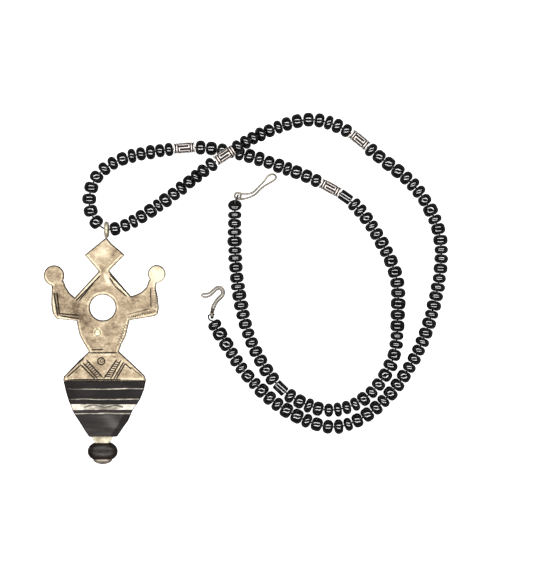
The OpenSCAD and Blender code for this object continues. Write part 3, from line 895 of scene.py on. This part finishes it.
def engraving(xy):
    """How deep the front is cut at each point, from 0 to 1."""
    cut = np.zeros(len(xy))
    for strokes, half in ((ENGRAVED, 0.3), (hatch_strokes(), 0.25), (zigzag_strokes(), 0.2),
                          (SCRATCHES, 0.16)):
        cut = np.maximum(cut, line_depths(xy, strokes, half))
    for (x, y), radius, half, amount in RINGS:
        off = np.abs(np.hypot(xy[:, 0] - x, xy[:, 1] - y) - radius)
        cut = np.maximum(cut, amount * np.clip(1 - (off / half) ** 2, 0, 1))
    return cut


def nearest(points, spot):
    """The index of the point nearest to a spot."""
    return int(np.argmin(((points - np.array(spot[:])) ** 2).sum(1)))


def noise_over(xy, *layers):
    """Summed noise at each point; each layer is (x scale, y scale, seed, amount)."""
    return np.array([sum(noise.noise(Vector((x * sx, y * sy, seed))) * amount
                         for sx, sy, seed, amount in layers) for x, y in xy])


def make_plate():
    """The doll's sheet: filed edges, engraving, rubbed lines, a slightly beaten face, and painted shade and a
    painted highlight along its edges.
    """
    low = HOLE.z - PLATE_T / 2 * MM
    loops = [[(p - HOLE.xy) / MM for p in loop] for loop in loops_at("pendant_plate", low)]
    loops = [resampled(loop, 0.2) for loop in loops]
    rim, normals, edges = rim_of(loops)
    tree = flat_tree(rim)
    xy, faces = triangulated(sheet_points(rim, normals, loops, tree), edges, loops)
    found = [tree.find((x, y, 0)) for x, y in xy]
    away = np.array([f[2] for f in found])
    facing = np.array([-normals[f[1]].y for f in found])

    cut = engraving(xy)
    filed, engrave, sunk = 0.42, 0.22, 0.05
    drop = np.where(away < filed,
                    filed - np.sqrt(np.maximum(0, filed**2 - (filed - away)**2)), 0)
    beaten = noise_over(xy, (0.16, 0.16, 3.1, 0.10), (0.55, 0.55, 8.2, 0.028))
    beaten *= np.clip(away / 1.5, 0, 1)
    top = PLATE_T / 2 - drop - engrave * cut + beaten - sunk

    # painted shade darkens the upper edges and a painted highlight brightens the lower ones, by which way each
    # edge faces; the rubbed lines are wear
    worn = noise_over(xy, (0.9, 0.9, 1.7, 1.0))
    rub_and_highlight = np.zeros(len(xy))
    for a, b, half, amount in RUBBED:
        rub_and_highlight = np.maximum(rub_and_highlight, line_depths(xy, [(a, b, amount)], half))
    painted_edge_shade = np.clip(2.0 - away / 0.3, 0, 1) * np.clip(0.62 + 0.5 * facing, 0, 1)
    # the painted edge shade joins the engraving in the dark mask, and the painted edge highlight joins the rubbed
    # lines
    cut = np.clip(cut * (1.9 + 0.7 * worn) + painted_edge_shade, 0, 1)
    painted_edge_highlight = np.clip(1.3 - np.abs(away - 0.75) / 0.3, 0, 1) * np.clip(0.5 - 0.5 * facing, 0, 0.9)
    rub_and_highlight = np.clip(rub_and_highlight * (1.1 + 0.6 * worn) + painted_edge_highlight, 0, 1) * (1 - cut)
    tone = plate_tone(xy)

    bm = bmesh.new()
    layers = [bm.verts.layers.float.new(n) for n in ("cut", "rub_and_highlight", "tone")]

    def add(i, z):
        """A corner of the sheet over flat point i, at height z, with its marks."""
        v = bm.verts.new(((xy[i][0] * MM + HOLE.x, xy[i][1] * MM + HOLE.y, HOLE.z + z * MM)))
        for layer, values in zip(layers, (cut, rub_and_highlight, tone)):
            v[layer] = values[i]
        return v

    front = [add(i, top[i]) for i in range(len(xy))]
    for f in faces:
        bm.faces.new([front[i] for i in f])
    back_xy, back_faces = triangulated(rim, edges, loops)
    back = [add(nearest(xy, p), -PLATE_T / 2) for p in back_xy]
    for f in back_faces:
        bm.faces.new([back[i] for i in reversed(f)])
    for a, b in edges:
        over_a, over_b = (front[nearest(xy, rim[i])] for i in (a, b))
        under_a, under_b = (back[nearest(back_xy, rim[i])] for i in (a, b))
        bm.faces.new((over_a, under_a, under_b, over_b))
    loose = [v for v in bm.verts if not v.link_faces]
    bmesh.ops.delete(bm, geom=loose, context="VERTS")
    new_piece("doll_plate", bm, "pendant", "pendant_plate", PLATE)


def flat_tree(points):
    """A search tree over flat points."""
    tree = KDTree(len(points))
    for i, p in enumerate(points):
        tree.insert((p[0], p[1], 0), i)
    tree.balance()
    return tree


# How pale parts of the sheet are: centre, size and amount of each soft patch.
TONE_PATCHES = [
    # head and neck
    (0, 20, 6, 0.21), (0, 13.4, 1.6, -0.2), (4.6, 20.4, 1.0, -0.25), (3.6, 18.8, 0.8, -0.18),
    # hands and arms
    (19.4, 12.1, 4, 0.42), (-17.5, 11.5, 4, -0.02), (-14, 2, 4, -0.16), (13, 1, 6, -0.04),
    # chest and belly
    (3, 9, 3, 0.12), (-9, -3, 5, -0.12), (0, -9, 5, 0.03), (-9.5, 0.5, 1.6, -0.2),
    (-8, -3.6, 1.6, -0.22), (-5.6, -6, 1.6, -0.2), (-2.8, -12.2, 1.2, -0.15),
    # yoke
    (10, -22, 5, 0.13), (-9, -23, 4, 0.02), (-9.2, -23, 1.1, -0.25), (9, -23.4, 1.3, -0.16),
    (-1, -20.5, 3, -0.05)]


def plate_tone(xy):
    """How pale each point of the sheet is, from 0 to 1."""
    tone = np.full(len(xy), 0.425)
    for x, y, size, amount in TONE_PATCHES:
        d2 = (xy[:, 0] - x) ** 2 + (xy[:, 1] - y) ** 2
        tone += amount * np.exp(-d2 / (2 * (size * 0.75) ** 2))
    stains = noise_over(xy, (0.35, 0.3, 5.5, 0.13), (0.9, 1.5, 2.5, 0.11),
                        (1.9, 2.6, 7.5, 0.15))
    return np.clip(tone + stains, 0, 1)


def make_stud():
    """The navel: a small pale dome on a flat foot, longer than it is wide."""
    at = HOLE + Vector((-1.8 * MM, -9.0 * MM, PLATE_T / 2 * MM - 0.1 * MM))
    half_width, half_length = 1.12, 1.5
    dome = [(1.0, -0.1), (1.0, 0.12), (0.93, 0.35), (0.75, 0.6), (0.45, 0.74), (0.15, 0.78)]
    bm = bmesh.new()
    tone = bm.verts.layers.float.new("tone")
    rows = []
    for r, z in dome:
        rows.append([])
        for t in ring_angles(28):
            bump = 1 + 0.05 * math.cos(3 * t + 0.6)
            v = bm.verts.new(at + MM * Vector((half_width * r * bump * math.cos(t),
                                               half_length * r * bump * math.sin(t), z)))
            # painted highlight: the top of the dome gets a paler tone, which stud_silver doesn't read
            v[tone] = 0.95 if r < 0.7 else 0.5
            rows[-1].append(v)
    grid_faces(bm, rows, caps=True)
    new_piece("navel_dome", bm, "pendant", "navel_stud", STUD)


# ---- ebony skirt and its inlays ------------------------------------------------------

# The ebony's outline: y, and x of the left and the right side.
SIDES = [(-26.5, -14, 15.5), (-29.7, -13.3, 14.8), (-33.3, -12.2, 13.3), (-36.9, -10.8, 10.8),
         (-40.5, -8.6, 9.2), (-44.1, -6.3, 6.7), (-46.3, -4.7, 5.2)]
# Where the three thin inlays and the wide band begin and end along y.
LINES = [(-29.4, -29.0), (-33.1, -32.7), (-38.2, -37.8)]
BAND = (-36.7, -34.7)
# The ridges across the front: x and half the thickness there.
SECTION = [(-16, 1.3), (-9, 2.95), (6, 2.95), (17, 1.3)]


def skirt_edges(y):
    """Where the ebony's two sides are at y."""
    ys = [-s[0] for s in SIDES]
    return (float(np.interp(-y, ys, [s[1] for s in SIDES])),
            float(np.interp(-y, ys, [s[2] for s in SIDES])))


def skirt_half(x):
    """Half thickness of the ebony at x, with its ridges a little softened."""
    xs, ts = [s[0] for s in SECTION], [s[1] for s in SECTION]
    return sum(float(np.interp(x + off, xs, ts)) for off in (-0.9, -0.3, 0.3, 0.9)) / 4


def wavy(x, y):
    """The hand-sawn lines wander a little up and down."""
    return (0.16 * noise.noise(Vector((x * 0.22, y * 0.4, 4.4)))
            + 0.05 * noise.noise(Vector((x * 0.8, y, 9.9))))


def skirt_point(u, y, sink=0.0):
    """A point on the front at u from 0, the left side, to 1, sunk below the face."""
    left, right = skirt_edges(y)
    x = left + (right - left) * u
    edge = min(u, 1 - u) * (right - left)
    soft = 0.5
    drop = soft - math.sqrt(max(0.0, soft**2 - (soft - edge) ** 2)) if edge < soft else 0.0
    return HOLE + MM * Vector((x, y + wavy(x, y), skirt_half(x) - drop - sink))


def make_skirt():
    """The ebony: hand-sawn channels across the front, and the same bevels on the back."""
    slots = sorted(LINES + [BAND])
    stops = [(SKIRT_END, 0.0)]
    depth, flank = 0.45, 0.02
    for a, b in slots:
        stops += [(a, 0.0), (a + flank, depth), (b - flank, depth), (b, 0.0)]
    stops.append((SKIRT_TOP, 0.0))
    rows_at = []
    for (y0, s0), (y1, s1) in zip(stops, stops[1:]):
        n = 1 if abs(y1 - y0) < 0.1 else max(1, int((y1 - y0) / 0.35))
        rows_at += [(y0 + (y1 - y0) * k / n, s0 + (s1 - s0) * k / n) for k in range(n)]
    rows_at.append(stops[-1])
    us = [0.5 - 0.5 * math.cos(math.pi * k / 90) for k in range(91)]
    bm = bmesh.new()
    tone = bm.verts.layers.float.new("tone")

    def ramp(value, over):
        """0 below zero, 1 beyond over, and even between."""
        return max(0.0, min(1.0, value / over))

    def bell(value, spread):
        """1 at zero, fading away on both sides."""
        return math.exp(-(value / spread) ** 2)

    def tone_and_painted_light(p):
        """Darker near the top, paler from the band down and low down, with a thin pale streak near the top;
        painted shade on the bevels, a painted highlight low on the right.
        """
        x, y = (p.x - HOLE.x) / MM, (p.y - HOLE.y) / MM
        pale = -0.03 + 0.19 * (y < -36)
        # painted highlight: a pale diagonal band low on the right, beside the bevel
        pale += 0.3 * bell(x - 4.4 + 0.75 * (y + 42), 2.2) * (y < -38)
        pale += 0.1 * bell(y + 42.5, 4.5)
        # painted shade on the lower right bevel, and more faintly on the left bevel
        pale -= 0.5 * ramp(x - 6.4 - 0.62 * (y + 40), 0.9) * (y < -38.5)
        pale -= 0.1 * ramp(-x - 9.5, 1.5)
        pale += 0.2 * noise.noise(Vector((x * 0.12, y * 0.8, 0.4)))
        pale += 0.12 * bell(y + 28.4 + 0.05 * x, 0.35) * (abs(x - 1) < 8)
        return pale

    rows = []
    for y, sink in rows_at:
        front = [bm.verts.new(skirt_point(u, y, sink)) for u in us]
        back = []
        for u in reversed(us):
            p = skirt_point(u, y)
            back.append(bm.verts.new((p.x, p.y, 2 * HOLE.z - p.z)))
        for v in front + back:
            v[tone] = tone_and_painted_light(v.co)
        rows.append(front + back)
    grid_faces(bm, rows, caps=True)
    piece = new_piece("ebony_body", bm, "pendant", "ebony_skirt", EBONY)
    bevel_normals(piece, 40)


def bevel_normals(piece, degrees):
    """Keeps edges sharper than that angle crisp in the shading."""
    mesh = piece.data
    bm = bmesh.new()
    bm.from_mesh(mesh)
    for e in bm.edges:
        if e.is_manifold and e.calc_face_angle(0) > math.radians(degrees):
            e.smooth = False
    bm.to_mesh(mesh)
    bm.free()


def make_inlay(name, node, y0, y1, fade):
    """Silver let into a channel of the ebony, worn thin towards the left."""
    wide = y1 - y0 > 1
    steps = 14 if wide else 4
    lip, foot = 0.03, 0.42
    us = [0.004 + 0.992 * k / 150 for k in range(151)]
    ys = [y0 + 0.02, y0 + 0.05] + [y0 + (y1 - y0) * k / steps for k in range(1, steps)]
    ys += [y1 - 0.05, y1 - 0.02]
    bm = bmesh.new()
    cut, tone = (bm.verts.layers.float.new(n) for n in ("cut", "tone"))

    def darkness(u, y, worn):
        """The worn left end, and on the wide band a waving engraved line."""
        dark = max(0.0, 1 - (u + 0.1 * worn) / fade) if fade else 0.0
        if wide and 0.2 < u < 0.82:
            off = y - (y0 + y1) / 2 - 0.3 - 0.35 * math.sin(u * 19 + 1)
            line = max(0.0, 1.3 - abs(off) / 0.3)
            dark = max(dark, line * max(0.0, min(1.0, 0.75 + 1.6 * worn)))
        return min(1.0, dark)

    rows = []
    for y in ys:
        sink = lip if y in (ys[0], ys[-1]) else -lip
        rows.append([])
        for u in us:
            v = bm.verts.new(skirt_point(u, y, sink))
            worn = noise.noise(Vector((u * 14, y * 2, 6.6)))
            v[cut] = darkness(u, y, worn)
            v[tone] = (0.36 + 0.5 * abs(2 * u - 1) if wide else 0.46) + 0.35 * worn
            rows[-1].append(v)
    rows += [[bm.verts.new(skirt_point(u, y, foot)) for u in us] for y in (ys[-1], ys[0])]
    for a, b in zip(rows, rows[1:] + rows[:1]):
        for k in range(len(us) - 1):
            bm.faces.new((a[k], b[k], b[k + 1], a[k + 1]))
    for k in (0, -1):
        bm.faces.new([row[k] for row in rows])
    new_piece(name, bm, "pendant", node, INLAY)


def make_tip():
    """The tip: a turned oval, a little fuller than an ellipsoid."""
    at, radii, fullness = Vector((0, -51.7, 0)), (5.4, 3.6, 2.85), 2.2
    stations, pole = 30, 0.06
    bm = bmesh.new()
    rows = []
    for j in range(stations + 1):
        a = pole + (math.pi - 2 * pole) * j / stations
        s, c = math.sin(a), math.cos(a)
        puff = (abs(s) ** fullness + abs(c) ** fullness) ** (-1 / fullness)
        rows.append([bm.verts.new(HOLE + MM * (at + Vector((
            radii[0] * s * puff * math.cos(t), radii[1] * c * puff,
            radii[2] * s * puff * math.sin(t))))) for t in ring_angles(48)])
    grid_faces(bm, rows, caps=True)
    new_piece("tip_oval", bm, "pendant", "tip_bead", HORN)


# ---- the whole necklace --------------------------------------------------------------

make_camera()
make_thread()
make_light()
make_floor()
make_beads()
for number in range(1, 5):
    silver_tube(number)
for number in (1, 2):
    black_tube(number)
make_eye()
make_hook()
make_plate()
make_stud()
make_skirt()
for node, span, fade in (("inlay_upper", LINES[0], 0.34), ("inlay_middle", LINES[1], 0.28),
                         ("skirt_band", BAND, 0.0), ("inlay_lower", LINES[2], 0.05)):
    make_inlay(f"{node}_strip", node, *span, fade)
make_tip()

# These pieces are shown as the CAD made them.
CARRIED = {"bail_ring": FITTING, "tip_cap": FITTING, "base_cap": DULL}
for node, material in CARRIED.items():
    NODES[node].data.materials.clear()
    NODES[node].data.materials.append(material)

bpy.context.scene.view_settings.view_transform = "Standard"
